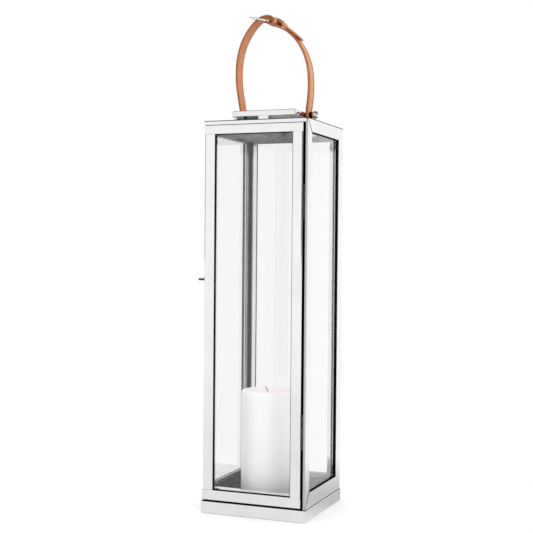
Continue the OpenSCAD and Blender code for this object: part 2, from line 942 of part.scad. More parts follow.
module candle() {
    r = candle_d / 2;
    color("ghostwhite") translate([-candle_left, 0, floor_z]) difference() {
        rotate_extrude($fn = 96) difference() {
            union() {
                square([r - candle_edge, candle_h]);
                square([r, candle_h - candle_edge]);
                translate([r - candle_edge, candle_h - candle_edge]) circle(r = candle_edge);
            }
            translate([-1, candle_h - candle_dip]) square([r - candle_rim + 1, candle_dip + 1]);
        }
        translate([0, 0, candle_h - candle_dip - wick_sunk])
            cylinder(r = wick_r + snug_play, h = wick_sunk + 1);
    }
}

module wick() {
    top = floor_z + candle_h - candle_dip;
    color("dimgray") translate([-candle_left, 0, top - wick_sunk])
        cylinder(r = wick_r, h = wick_sunk + wick_len);
}

base_plinth();
base_core();
base_felt();
floor_plate();
left_front_post();
left_rear_post();
left_top_rail();
left_bottom_rail();
right_front_post();
right_rear_post();
right_top_rail();
right_bottom_rail();
back_left_post();
back_right_post();
back_top_rail();
back_bottom_rail();
header_rail();
front_sill();
threshold_strip();
hinge_side_stop();
left_glass();
right_glass();
back_glass();
glazing_seals();
glazing_beads();
roof_plate();
roof_liner();
cap_cover();
cap_legs();
handle_bolts();
handle_spacers();
handle_washers();
ball_nuts();
cap_nuts();
hinge_post_leaves();
hinge_pins();
hinge_post_screws();
catch_pin();
door_left_stile();
door_right_stile();
door_top_rail();
door_bottom_rail();
door_glass();
door_seal();
door_bead();
hinge_door_leaves();
hinge_door_screws();
latch_knob();
latch_claw();
strap_long();
strap_short();
keeper_loop();
buckle_frame();
buckle_prong();
candle();
wick();
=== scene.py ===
"""Looks for the candle lantern: eased steel edges, clear glass, tan leather, wax and a pale studio.

Pieces are placed in metres in the row frame: +Z up, the door faces -Y. The shapes of the handle
and the wick are worked out in millimetres.
"""
import json
import math

import bmesh
import bpy
from mathutils import Matrix, Vector, noise


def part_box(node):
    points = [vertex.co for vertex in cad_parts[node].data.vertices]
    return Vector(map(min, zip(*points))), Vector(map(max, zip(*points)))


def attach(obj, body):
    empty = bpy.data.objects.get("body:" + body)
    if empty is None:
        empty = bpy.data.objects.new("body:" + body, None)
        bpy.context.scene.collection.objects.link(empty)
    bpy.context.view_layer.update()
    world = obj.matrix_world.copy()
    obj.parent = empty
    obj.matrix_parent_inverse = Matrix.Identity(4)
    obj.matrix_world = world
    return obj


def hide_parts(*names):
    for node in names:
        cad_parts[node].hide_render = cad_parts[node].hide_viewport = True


MM = 0.001

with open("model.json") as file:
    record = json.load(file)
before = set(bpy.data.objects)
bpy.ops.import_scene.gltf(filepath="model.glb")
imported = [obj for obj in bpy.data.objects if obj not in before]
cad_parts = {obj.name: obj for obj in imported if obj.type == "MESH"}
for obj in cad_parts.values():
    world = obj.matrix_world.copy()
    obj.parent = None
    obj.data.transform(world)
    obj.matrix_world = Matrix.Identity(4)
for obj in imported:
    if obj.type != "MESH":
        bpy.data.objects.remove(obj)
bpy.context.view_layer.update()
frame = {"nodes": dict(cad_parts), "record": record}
record = frame["record"]
BODY_OF = {n: b for b, nodes in record["behaviour"]["bodies"].items() for n in nodes}
SLOT_OF = {s["node"]: s["material_slot"] for s in record["subparts"]}


# ---- Node helpers -------------------------------------------------------------

class Nodes:
    """Small helper to build a node material."""

    def __init__(self, name):
        self.material = bpy.data.materials.new(name)
        self.material.use_nodes = True
        self.tree = self.material.node_tree
        self.tree.nodes.clear()
        self.out = self.new("ShaderNodeOutputMaterial")
        self.shader = self.new("ShaderNodeBsdfPrincipled")
        self.join(self.shader.outputs[0], self.out.inputs["Surface"])
        self.coords = self.new("ShaderNodeTexCoord").outputs["Object"]

    def new(self, kind, **settings):
        node = self.tree.nodes.new(kind)
        for key, value in settings.items():
            setattr(node, key, value)
        return node

    def join(self, a, b):
        self.tree.links.new(a, b)

    def set(self, **values):
        """Sets constants on the shader; spaces in socket names are written as _."""
        for key, value in values.items():
            self.shader.inputs[key.replace("_", " ")].default_value = value

    def stretched(self, scale):
        node = self.new("ShaderNodeMapping")
        node.inputs["Scale"].default_value = scale
        self.join(self.coords, node.inputs["Vector"])
        return node.outputs[0]

    def noise(self, scale, detail=3.0, rough=0.5, vector=None, distortion=0.0):
        node = self.new("ShaderNodeTexNoise")
        node.inputs["Scale"].default_value = scale
        node.inputs["Detail"].default_value = detail
        node.inputs["Roughness"].default_value = rough
        node.inputs["Distortion"].default_value = distortion
        self.join(vector or self.coords, node.inputs["Vector"])
        return node.outputs["Fac"]

    def cells(self, scale, vector=None):
        node = self.new("ShaderNodeTexVoronoi", feature="F1")
        node.inputs["Scale"].default_value = scale
        self.join(vector or self.coords, node.inputs["Vector"])
        return node.outputs["Distance"]

    def remap(self, value, low, high, to_low, to_high):
        node = self.new("ShaderNodeMapRange")
        self.join(value, node.inputs["Value"])
        for key, number in (("From Min", low), ("From Max", high),
                            ("To Min", to_low), ("To Max", to_high)):
            node.inputs[key].default_value = number
        return node.outputs["Result"]

    def math(self, operation, a, b):
        node = self.new("ShaderNodeMath", operation=operation)
        for socket, value in zip(node.inputs, (a, b)):
            if isinstance(value, (int, float)):
                socket.default_value = value
            else:
                self.join(value, socket)
        return node.outputs[0]

    def mix(self, factor, a, b):
        node = self.new("ShaderNodeMix", data_type="RGBA")
        for name, value in (("Factor", factor), ("A", a), ("B", b)):
            kind = "VALUE" if name == "Factor" else "RGBA"
            socket = next(s for s in node.inputs if s.name == name and s.type == kind)
            if isinstance(value, (int, float)):
                socket.default_value = value
            elif isinstance(value, tuple):
                socket.default_value = (*value, 1)
            else:
                self.join(value, socket)
        return next(s for s in node.outputs if s.type == "RGBA")

    def bump(self, height, distance, strength=1.0, normal=None):
        node = self.new("ShaderNodeBump")
        node.inputs["Distance"].default_value = distance
        node.inputs["Strength"].default_value = strength
        self.join(height, node.inputs["Height"])
        if normal is not None:
            self.join(normal, node.inputs["Normal"])
        return node.outputs[0]

    def colour(self, socket):
        self.join(socket, self.shader.inputs["Base Color"])

    def roughness(self, socket):
        self.join(socket, self.shader.inputs["Roughness"])

    def normal(self, socket):
        self.join(socket, self.shader.inputs["Normal"])


# ---- Materials ----------------------------------------------------------------

def polished_steel():
    m = Nodes("polished_steel")
    m.set(Metallic=1.0)
    cloud = m.noise(14, 4, 0.55)
    m.colour(m.mix(m.remap(cloud, 0.3, 0.7, 0, 1), (0.78, 0.78, 0.785), (0.84, 0.84, 0.84)))
    smudge = m.noise(38, 5, 0.6, distortion=0.4)
    m.roughness(m.remap(smudge, 0.35, 0.75, 0.045, 0.12))
    sway = m.bump(m.noise(7, 1.5, 0.4), 0.0006, 0.35)
    hairlines = m.noise(1.0, 2, 0.5, m.stretched((1500, 1500, 26)))
    m.normal(m.bump(hairlines, 0.000004, 0.6, sway))
    return m.material


def satin_steel():
    m = Nodes("satin_steel")
    m.set(Metallic=1.0)
    grain = m.noise(1.0, 3, 0.6, m.stretched((1800, 1800, 90)))
    m.colour(m.mix(grain, (0.42, 0.42, 0.43), (0.54, 0.54, 0.55)))
    m.roughness(m.remap(grain, 0.3, 0.7, 0.24, 0.38))
    m.normal(m.bump(grain, 0.00002, 0.8))
    return m.material


# Dark steel. It is also used as painted shade on the roof liner, the cap cover's underside and the
# left bottom rail's inner face.
def dark_steel():
    m = Nodes("dark_steel")
    m.set(Metallic=1.0)
    rubbed = m.noise(1.0, 4, 0.6, m.stretched((60, 9, 60)), distortion=0.5)
    m.colour(m.mix(m.remap(rubbed, 0.35, 0.7, 0, 1), (0.036, 0.033, 0.032), (0.10, 0.095, 0.09)))
    m.roughness(m.remap(rubbed, 0.3, 0.7, 0.16, 0.34))
    m.normal(m.bump(m.noise(900, 3, 0.6), 0.00002, 0.5))
    return m.material


def clear_glass():
    """Clear float glass. Light for the pieces inside passes straight through it."""
    m = Nodes("clear_glass")
    m.set(Base_Color=(0.955, 0.958, 0.958, 1), Roughness=0.0, IOR=1.5, Transmission_Weight=1.0)
    m.normal(m.bump(m.noise(5, 1, 0.4), 0.0004, 0.15))
    clear = m.new("ShaderNodeBsdfTransparent")
    clear.inputs["Color"].default_value = (0.985, 0.99, 0.988, 1)
    rays = m.new("ShaderNodeLightPath")
    blend = m.new("ShaderNodeMixShader")
    passing = m.math("MAXIMUM", rays.outputs["Is Shadow Ray"], rays.outputs["Is Diffuse Ray"])
    m.join(passing, blend.inputs["Fac"])
    m.join(m.shader.outputs[0], blend.inputs[1])
    m.join(clear.outputs[0], blend.inputs[2])
    m.join(blend.outputs[0], m.out.inputs["Surface"])
    return m.material


# Black rubber for the real strips and seals. The same black is also painted on steel faces in gaps
# and joints as painted shade.
def black_rubber_and_gap_shade():
    m = Nodes("black_rubber_and_gap_shade")
    m.set(Specular_IOR_Level=0.08)
    dust = m.noise(260, 4, 0.6)
    m.colour(m.mix(m.remap(dust, 0.4, 0.8, 0, 1), (0.0015, 0.0015, 0.0015), (0.005, 0.005, 0.005)))
    m.roughness(m.remap(dust, 0.3, 0.7, 0.75, 0.95))
    m.normal(m.bump(m.noise(2200, 2), 0.00003, 0.5))
    return m.material


def candle_wax():
    """White wax. The attribute look holds, in red, where it has melted; there the wax is painted
    pinker as a painted warm glow.
    """
    m = Nodes("candle_wax")
    m.set(Subsurface_Weight=0.3, Subsurface_Scale=0.010, Subsurface_Radius=(1.0, 0.8, 0.75),
          Specular_IOR_Level=0.3)
    marks = m.new("ShaderNodeAttribute", attribute_name="look")
    split = m.new("ShaderNodeSeparateColor")
    m.join(marks.outputs["Color"], split.inputs[0])
    bloom = m.noise(22, 5, 0.6, distortion=0.3)
    wall = m.mix(m.remap(bloom, 0.3, 0.7, 0, 1), (0.960, 0.942, 0.965), (0.982, 0.974, 0.990))
    # Where the wax has melted it is painted pinker: a painted glow.
    m.colour(m.mix(split.outputs[0], wall, (0.965, 0.80, 0.785)))
    m.roughness(m.remap(bloom, 0.3, 0.7, 0.34, 0.48))
    pits = m.bump(m.cells(420), 0.00005, 0.25)
    m.normal(m.bump(m.noise(30, 3, 0.5), 0.0004, 0.25, pits))
    return m.material


def wick_cotton():
    m = Nodes("wick_cotton")
    braid = m.cells(900, vector=m.stretched((1, 1, 0.5)))
    m.colour(m.mix(m.remap(braid, 0, 0.7, 0, 1), (0.12, 0.10, 0.085), (0.03, 0.028, 0.026)))
    m.set(Roughness=0.9)
    m.normal(m.bump(braid, 0.0002, 0.9))
    return m.material


def fibreboard():
    m = Nodes("fibreboard")
    chips = m.noise(260, 6, 0.7)
    m.colour(m.mix(chips, (0.30, 0.20, 0.12), (0.48, 0.35, 0.23)))
    m.set(Roughness=0.85)
    m.normal(m.bump(chips, 0.0002, 0.5))
    return m.material


def felt():
    m = Nodes("felt")
    fluff = m.noise(900, 5, 0.75)
    m.colour(m.mix(fluff, (0.02, 0.02, 0.02), (0.09, 0.09, 0.09)))
    m.set(Roughness=0.95, Sheen_Weight=0.4)
    m.normal(m.bump(fluff, 0.0004, 0.8))
    return m.material


def tan_leather():
    """Vegetable-tanned strap. The attribute look holds edge, flesh side and crease."""
    m = Nodes("tan_leather")
    marks = m.new("ShaderNodeAttribute", attribute_name="look")
    split = m.new("ShaderNodeSeparateColor")
    m.join(marks.outputs["Color"], split.inputs[0])
    edge, flesh, crease = split.outputs[0], split.outputs[1], split.outputs[2]
    mottle = m.remap(m.noise(70, 5, 0.6, distortion=0.6), 0.3, 0.7, 0, 1)
    fine = m.remap(m.noise(900, 4, 0.65), 0.3, 0.7, 0, 1)
    grain_side = m.mix(mottle, (0.62, 0.275, 0.125), (0.72, 0.365, 0.185))
    grain_side = m.mix(m.math("MULTIPLY", fine, 0.35), grain_side, (0.50, 0.19, 0.075))
    flesh_side = m.mix(mottle, (0.60, 0.245, 0.115), (0.70, 0.315, 0.160))
    flesh_side = m.mix(m.math("MULTIPLY", fine, 0.45), flesh_side, (0.48, 0.175, 0.075))
    body = m.mix(flesh, grain_side, flesh_side)
    body = m.mix(m.math("MULTIPLY", crease, 0.6), body, (0.20, 0.085, 0.035))
    edge_tone = m.mix(mottle, (0.25, 0.080, 0.028), (0.38, 0.140, 0.055))
    m.colour(m.mix(edge, body, edge_tone))
    m.roughness(m.math("ADD", m.remap(fine, 0, 1, 0.46, 0.60), m.math("MULTIPLY", flesh, 0.18)))
    m.set(Specular_IOR_Level=0.3)
    pores = m.math("ADD", m.cells(1500), m.math("MULTIPLY", m.noise(420, 4, 0.6), 0.8))
    m.normal(m.bump(pores, 0.00018, 0.55))
    return m.material


MAKERS = {
    "polished_steel": polished_steel,
    "satin_steel": satin_steel,
    "dark_steel": dark_steel,
    "clear_glass": clear_glass,
    "black_strip": black_rubber_and_gap_shade,
    "candle_wax": candle_wax,
    "wick_cotton": wick_cotton,
    "fibreboard": fibreboard,
    "felt": felt,
    "tan_leather": tan_leather,
}
MATERIALS = {slot: make() for slot, make in MAKERS.items()}


# ---- Mesh helpers -------------------------------------------------------------

def link(name, mesh):
    piece = bpy.data.objects.new(name, mesh)
    bpy.context.scene.collection.objects.link(piece)
    return piece


def link_mesh(name, bm):
    """Turns a bmesh into an object in the scene."""
    mesh = bpy.data.meshes.new(name)
    bm.to_mesh(mesh)
    bm.free()
    return link(name, mesh)


def smooth_faces(bm):
    for face in bm.faces:
        face.smooth = True


def skin(name, bm, rings, closed=False):
    """Joins rings of vertices to a smooth surface, with flat ends unless it is closed."""
    pairs = list(zip(rings, rings[1:]))
    if closed:
        pairs.append((rings[-1], rings[0]))
    for first, second in pairs:
        for i in range(len(first)):
            j = (i + 1) % len(first)
            bm.faces.new((first[i], first[j], second[j], second[i]))
    if not closed:
        for ring in (rings[0], rings[-1]):
            bm.faces.new(ring)
    bmesh.ops.recalc_face_normals(bm, faces=bm.faces)
    smooth_faces(bm)
    return link_mesh(name, bm)


def settle(piece):
    """Applies a piece's modifiers to its mesh."""
    bpy.context.view_layer.update()
    graph = bpy.context.evaluated_depsgraph_get()
    mesh = bpy.data.meshes.new_from_object(piece.evaluated_get(graph))
    piece.modifiers.clear()
    piece.data = mesh


def dress(piece, *nodes):
    """Gives a piece the body, slot and material of the CAD nodes that it stands for."""
    slot = SLOT_OF[nodes[0]]
    piece.data.materials.clear()
    piece.data.materials.append(MATERIALS[slot])
    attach(piece, BODY_OF[nodes[0]])
    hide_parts(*nodes)


MERGE_DISTANCE = 1e-6
FLAT_ANGLE = math.radians(0.5)
SHARP_ANGLE = math.radians(32)
FOLD_SEGMENTS = 4


def sharp_edges(bm):
    return [e for e in bm.edges if len(e.link_faces) == 2 and e.calc_face_angle() > SHARP_ANGLE]


def bevel(bm, edges, width, segments, clamped):
    bmesh.ops.bevel(bm, geom=edges, offset=width, segments=segments, profile=0.5,
                    affect="EDGES", clamp_overlap=clamped)


def eased(node, width, segments=2, painted_shade=(), fold=None):
    """Stands for a CAD node with the same shape, its sharp edges rounded off.

    Painted shade comes as (test, slot) pairs: faces whose centre and normal pass a test take that
    slot's material.
    fold is (radius, test): edges whose midpoint passes the test get that radius."""
    bm = bmesh.new()
    bm.from_mesh(frame["nodes"][node].data)
    bmesh.ops.remove_doubles(bm, verts=bm.verts, dist=MERGE_DISTANCE)
    bmesh.ops.dissolve_limit(bm, angle_limit=FLAT_ANGLE, verts=bm.verts, edges=bm.edges)
    if fold:
        radius, test = fold
        edges = [e for e in sharp_edges(bm) if test((e.verts[0].co + e.verts[1].co) / 2)]
        bevel(bm, edges, radius, FOLD_SEGMENTS, False)
    bevel(bm, sharp_edges(bm), width, segments, True)
    smooth_faces(bm)
    piece = link_mesh(node + "_look", bm)
    piece.modifiers.new("normals", "WEIGHTED_NORMAL")
    settle(piece)
    dress(piece, node)
    for index, (test, slot) in enumerate(painted_shade, 1):
        piece.data.materials.append(MATERIALS[slot])
        for face in piece.data.polygons:
            if test(face.center, face.normal):
                face.material_index = index


# ---- Steel, glass and seals ---------------------------------------------------

SIDES = ("left", "right")
bars = [f"{side}_{bar}" for side in SIDES
        for bar in ("front_post", "rear_post", "top_rail", "bottom_rail")]
bars += [f"back_{bar}" for bar in ("left_post", "right_post", "top_rail", "bottom_rail")]
bars += [f"door_{bar}" for bar in ("left_stile", "right_stile", "top_rail", "bottom_rail")]
DOOR_BOX = [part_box(f"door_{bar}") for bar in ("bottom_rail", "top_rail")]
# Just behind the door's back face
GAP_Y = DOOR_BOX[0][1].y + 0.2 * MM
# How much of a normal points one way on a face that looks that way
FACING = 0.9
# The same for a face that looks up, with the upper part of its rounded fold
UPWARD = 0.6
# How little of a normal points up or down on an upright face
SIDEWAYS = 0.5
# How much of a normal points along each of two axes on a slanted face
SLANTED = 0.1
# The front mitres' edges lie in front of this, and this close to the ends of a post
FRONT_ZONE = -80 * MM
MITRE_REACH = 40 * MM
# The front faces of the side frames lie in front of this
FRONT_FACE = -100 * MM


def in_mitre(across):
    """A test for the slanted faces where two frame bars meet, and for their eased edges.

    across is the index of the frame's own horizontal axis."""
    return lambda centre, normal: min(abs(normal[across]), abs(normal.z)) > SLANTED


def in_door_gap(centre, normal):
    """True on the door's top, bottom and hinge edges, which face its gaps."""
    low, high = DOOR_BOX[0][0], DOOR_BOX[1][1]
    edge = 0.5 * MM
    return (normal.z < -FACING and centre.z < low.z + edge
            or normal.z > FACING and centre.z > high.z - edge
            or normal.x > FACING and centre.x > high.x - edge)


def by_the_gap(centre, normal):
    """True on the fixed faces that look into the door's gaps."""
    hinge_side = normal.x < -FACING and centre.y < GAP_Y
    return hinge_side or normal.y < -FACING and centre.y > GAP_Y or normal.z < -FACING


def at_ends(node):
    """A test for the faces at the lower and upper end of an upright bar."""
    low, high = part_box(node)
    edge = 0.4 * MM
    return lambda centre, normal: centre.z < low.z + edge or centre.z > high.z - edge


def outside_fold(node):
    """A test for the edges along a lid's top and its upright corners."""
    low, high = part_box(node)
    edge = 0.1 * MM

    def test(middle):
        on_top = middle.z > high.z - edge
        at_x = min(middle.x - low.x, high.x - middle.x) < edge
        at_y = min(middle.y - low.y, high.y - middle.y) < edge
        return on_top and (at_x or at_y) or at_x and at_y

    return test


def front_mitre(middle):
    """True on the edges where a side frame's front post meets its rails."""
    low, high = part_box("right_front_post")
    between_mitres = low.z + MITRE_REACH < middle.z < high.z - MITRE_REACH
    return middle.y < FRONT_ZONE and not between_mitres


def front_edge(centre, normal):
    """True on the narrow front face of a side frame's front post."""
    return normal.y < -FACING and centre.y < FRONT_FACE


def front_end(centre, normal):
    """True on the slanted faces at the front mitres of a side frame."""
    return centre.y < 0 and in_mitre(1)(centre, normal)


def facing_inside(centre, normal):
    """True on the faces of a left bar that look into the lantern."""
    return normal.x > FACING


def facing_up(centre, normal):
    return normal.z > UPWARD


def facing_down(centre, normal):
    return normal.z < -FACING


def facing_sideways(centre, normal):
    return abs(normal.z) < SIDEWAYS


# Painted shade: the faces that look into the door's gaps, the mitre and stile joints, the plinth's
# top and the roof plate's edges are painted black.
SHADOWED = "black_strip"
BAR_EASE = 0.45 * MM
DOOR_EASE = 0.35 * MM
SHEET_EASE = 0.4 * MM
CAP_EASE = 0.3 * MM
GLASS_EASE = 0.25 * MM
THIN_EASE = 0.2 * MM
FITTING_EASE = 0.15 * MM
MITRE_FOLD = 1.3 * MM
PLINTH_FOLD = 1.2 * MM
CAP_FOLD = 1.6 * MM

# Painted shade on the frames: black on the faces into the door's gaps, on the stiles' ends and in
# the mitres.
for name in bars:
    if name.endswith("stile"):
        eased(name, DOOR_EASE, painted_shade=[(in_door_gap, SHADOWED), (at_ends(name), SHADOWED)])
    elif name.startswith("door"):
        eased(name, DOOR_EASE, painted_shade=[(in_door_gap, SHADOWED)])
    elif name.startswith("back"):
        eased(name, BAR_EASE, painted_shade=[(in_mitre(0), SHADOWED)])
    elif name.endswith("rear_post"):
        eased(name, BAR_EASE)
    # The right front post's narrow front face is painted satin grey as painted shade.
    elif name == "right_front_post":
        eased(name, BAR_EASE, fold=(MITRE_FOLD, front_mitre),
              painted_shade=[(in_mitre(1), SHADOWED), (by_the_gap, SHADOWED),
                       (front_edge, "satin_steel")])
    else:
        painted_shade = [(front_end, SHADOWED)]
        if name == "left_bottom_rail":
            # The face that looks into the lantern is painted dark steel as painted shade.
            painted_shade.append((facing_inside, "dark_steel"))
        eased(name, BAR_EASE, fold=(MITRE_FOLD, front_mitre), painted_shade=painted_shade)
# Painted shade: black on the header's faces into the door's gap, on the plinth's top and on the
# roof plate's edges, and dark steel on the cap cover's downward faces.
eased("header_rail", SHEET_EASE, painted_shade=[(by_the_gap, SHADOWED)])
eased("front_sill", SHEET_EASE)
eased("base_plinth", SHEET_EASE, fold=(PLINTH_FOLD, outside_fold("base_plinth")),
      painted_shade=[(facing_up, SHADOWED)])
eased("cap_cover", CAP_EASE, fold=(CAP_FOLD, outside_fold("cap_cover")),
      painted_shade=[(facing_down, "dark_steel")])
eased("cap_legs", CAP_EASE)
eased("roof_plate", CAP_EASE, painted_shade=[(facing_sideways, SHADOWED)])
# The roof liner is a dark steel sheet put under the roof where there is only shade: painted shade.
for name in ("floor_plate", "roof_liner"):
    eased(name, THIN_EASE)
for name in ("left_glass", "right_glass", "back_glass", "door_glass"):
    eased(name, GLASS_EASE, 1)
for name in ("glazing_beads", "door_bead", "glazing_seals", "door_seal", "hinge_side_stop",
             "threshold_strip", "base_core", "base_felt"):
    eased(name, THIN_EASE, 1)
for name in ("handle_bolts", "cap_nuts", "handle_spacers", "handle_washers", "ball_nuts",
             "hinge_post_leaves", "hinge_door_leaves", "hinge_pins", "hinge_post_screws",
             "hinge_door_screws", "catch_pin", "latch_claw", "latch_knob"):
    eased(name, FITTING_EASE)


# ---- Handle: the straps' routes, as in the CAD model, in millimetres --------------

STRAP_W = 30.0
STRAP_T = 3.8
LOOK_T = 3.66
END_R = STRAP_W / 2
PIVOT = (66.4, 739.6)
BAR_R = 2.2
BAR_PLAY = 0.1
GRIP_RUN = END_R + 6
SHORT_RUN = [(GRIP_RUN, 0), (9, 9), (58, -13), (47, -21), (93, -52)]
LONG_RUN = [(GRIP_RUN, 0), (9, -10), (30, 0), (57, 15), (39, 17), (39, 21)]
WRAP = STRAP_T + 2 * (BAR_R + BAR_PLAY)
KEEPER_T = 1.8
KEEPER_W = 7.0
KEEPER_AT = 14.0
LAYER_GAP = 0.15
ROOT_LIFT = 1.0
ROOT_RUN = 10
FOLD_LEN = 20
TAIL_LEN = 50
TAIL_DROP = 3.7
TAIL_DROP_RUN = 14
TIP_LEN = 24
TIP_TAPER = 15.0
TIP_HALF = 5.0
STEP = 2.0
LAYER_STEP = 2
WRAP_STEPS = 14
BRIDGE_PULL = 15
BRIDGE_STEPS = 20


def sin(angle):
    return math.sin(math.radians(angle))


def cos(angle):
    return math.cos(math.radians(angle))


def arc(point, run, turn, count=None):
    """Points (x, z, heading) along an arc that starts at point. Headings run from +Z to +X."""
    x, z, h = point
    count = count or max(2, math.ceil(run / STEP))
    points = []
    for i in range(1, count + 1):
        part = i / count
        if turn == 0:
            points.append((x + run * part * sin(h), z + run * part * cos(h), h))
        else:
            radius = math.degrees(run / turn)
            a = turn * part
            points.append((x + radius * (cos(h) - cos(h + a)),
                           z + radius * (sin(h + a) - sin(h)), h + a))
    return points


def route(start, runs):
    points = [start]
    for run, turn in runs:
        points += arc(points[-1], run, turn)
    return points


def aside(point, distance):
    x, z, h = point
    return (x + distance * cos(h), z - distance * sin(h), h)


def ahead(point, distance):
    x, z, h = point
    return (x + distance * sin(h), z + distance * cos(h), h)


def bridge(p, q, pull, count):
    """Points of a smooth curve from p to q, leaving and arriving along their headings."""
    a, b = ahead(p, pull), ahead(q, -pull)
    points = []
    for i in range(1, count + 1):
        u = i / count
        v = 1 - u
        x, z = (v ** 3 * p[k] + 3 * v * v * u * a[k] + 3 * v * u * u * b[k] + u ** 3 * q[k]
                for k in (0, 1))
        dx, dz = (v * v * (a[k] - p[k]) + 2 * v * u * (b[k] - a[k]) + u * u * (q[k] - b[k])
                  for k in (0, 1))
        points.append((x, z, math.degrees(math.atan2(dx, dz))))
    return points


def smooth(t):
    return (1 - cos(180 * min(max(t, 0), 1))) / 2


def mix(a, b, t):
    return a + (b - a) * t


def fold_out(s):
    """How far the folded layer lies outside the short strap, s back from the bar."""
    under_keeper = STRAP_T + KEEPER_T + LAYER_GAP
    if s < ROOT_RUN:
        return mix(WRAP, under_keeper, smooth(s / ROOT_RUN))
    return mix(under_keeper, STRAP_T + LAYER_GAP, smooth((s - FOLD_LEN) / TAIL_DROP_RUN))


def tail_out(s):
    """How far the tail, the layer above the folded one, lies outside the short strap."""
    root = ROOT_LIFT * (1 - smooth(s / ROOT_RUN))
    drop = TAIL_DROP * smooth((s - FOLD_LEN) / TAIL_DROP_RUN)
    return fold_out(s) + STRAP_T + LAYER_GAP + root - drop


SHORT_PATH = route((PIVOT[0], PIVOT[1] - END_R, 0), SHORT_RUN)
BAR_END = SHORT_PATH[-1]
LAST_RADIUS = math.degrees(SHORT_RUN[-1][0] / SHORT_RUN[-1][1])
BAR_CENTRE = aside(BAR_END, WRAP / 2)


def back_point(s):
    """The short strap's point s back from the bar."""
    x, z, h = BAR_END
    a = -math.degrees(s / LAST_RADIUS)
    return (x + LAST_RADIUS * (cos(h) - cos(h + a)),
            z + LAST_RADIUS * (sin(h + a) - sin(h)), h + a)


def turned(point):
    return (point[0], point[1], point[2] + 180)


wrap_path = arc(BAR_END, math.pi * WRAP / 2, 180, WRAP_STEPS)
fold_path = [turned(aside(back_point(s), fold_out(s)))
             for s in range(LAYER_STEP, FOLD_LEN + 1, LAYER_STEP)]
tail_path = [turned(aside(back_point(s), tail_out(s)))
             for s in range(0, TAIL_LEN + 1, LAYER_STEP)]
LONG_RISE = route((-PIVOT[0], PIVOT[1] - END_R, 0), LONG_RUN)
LONG_PATH = LONG_RISE + bridge(LONG_RISE[-1], tail_path[0], BRIDGE_PULL, BRIDGE_STEPS)
LONG_PATH += tail_path[1:]
LONG_PATH += arc(LONG_PATH[-1], TIP_LEN, 0)


# ---- Handle: leather ------------------------------------------------------------

# Half of a strap's section: distance in from the edge, height over half the
# thickness, edge shade and crease shade. The grain side is darker near its edges, with a crease.
ROUNDED = [(0.08, 0.34, 1.0, 0), (0.32, 0.62, 1.0, 0), (0.75, 0.85, 0.9, 0), (1.2, 0.97, 0.5, 0)]
GRAIN_HALF = ROUNDED + [(1.7, 1.0, 0.75, 0), (5.2, 1.0, 0.7, 0.1), (5.9, 0.9, 0.7, 0.7),
                        (6.2, 0.82, 0.7, 1), (6.5, 0.9, 0.35, 0.7), (7.0, 1.0, 0.05, 0),
                        (9.0, 1.02, 0, 0), (11.5, 1.03, 0, 0)]
FLESH_HALF = ROUNDED + [(1.7, 1.0, 0.3, 0), (3.5, 1.0, 0.1, 0), (7.0, 1.0, 0, 0),
                        (11.0, 1.0, 0, 0)]


def section(half_width, thick):
    """Points (across, out, edge, flesh, crease) round a strap, out being the grain side."""
    squeeze = min(1.0, half_width / END_R)
    points = [(half_width, 0, 1, 0, 0)]
    for half, side, flesh in ((GRAIN_HALF, 1, 0), (FLESH_HALF, -1, 1)):
        near = [(half_width - e * squeeze, side * n * thick / 2, edge, flesh, crease)
                for e, n, edge, crease in half]
        middle = [(0, side * half[-1][1] * thick / 2, 0, flesh, 0)]
        far = [(-p[0], *p[1:]) for p in reversed(near)]
        run = near + middle + far
        points += run if side > 0 else list(reversed(run))
        if side > 0:
            points.append((-half_width, 0, 1, 0, 0))
    return points


def distances(path):
    total = [0.0]
    for a, b in zip(path, path[1:]):
        total.append(total[-1] + math.hypot(b[0] - a[0], b[1] - a[1]))
    return total


# Angles round a strap's first end at which it gets a section
FIRST_ANGLE = 0.5
ROUND_ANGLES = (FIRST_ANGLE, 6, 12, 18, 24, 30, 37, 44, 52, 60, 70, 80)
TIP_ROUND = 3
END_EASE = 0.9
# Squares of the least width and thickness at the ends, as parts of the full ones
LEAST_WIDTH = 0.002
LEAST_THICKNESS = 0.03
WAVER = 0.06


def fine_start(path):
    """Adds close points at a strap's first end, so that its round shape is smooth."""
    extra = [END_R * (1 - cos(a)) for a in ROUND_ANGLES]
    rest = [p for p, d in zip(path, distances(path)) if d > END_R]
    return [ahead(path[0], d) for d in extra] + rest


def strap_mesh(name, path, grain_right, tip):
    """Sweeps the strap's section along its path: round first end, square or pointed tip."""
    path = fine_start(path)
    along = distances(path)
    offset = END_R * (1 - cos(FIRST_ANGLE))
    length = along[-1] + offset
    bm = bmesh.new()
    looks = bm.verts.layers.float_color.new("look")
    rings = []
    for (x, z, h), d in zip(path, along):
        d += offset
        half_width = math.sqrt(max(END_R ** 2 - max(END_R - d, 0) ** 2, 0))
        left = length - d
        if tip == "point":
            half_width = min(half_width, mix(TIP_HALF, END_R, left / TIP_TAPER))
            roundness = 1 - max(1 - left / TIP_ROUND, 0) ** 2
            half_width *= math.sqrt(max(roundness, LEAST_WIDTH))
        roundness = 1 - max(1 - min(d, left) / END_EASE, 0) ** 2
        thick = LOOK_T * math.sqrt(max(roundness, LEAST_THICKNESS))
        ring = []
        for across, out, edge, flesh, crease in section(half_width, thick):
            shift = out if grain_right else -out
            waver = WAVER * noise.noise(Vector((x * 0.09, across * 0.12, z * 0.09)))
            px, pz, _ = aside((x, z, h), shift + waver)
            vert = bm.verts.new((px * MM, across * MM, pz * MM))
            vert[looks] = (edge, flesh, crease, 1)
            ring.append(vert)
        rings.append(ring)
    return skin(name, bm, rings)


CUTTER_SIDES = 20


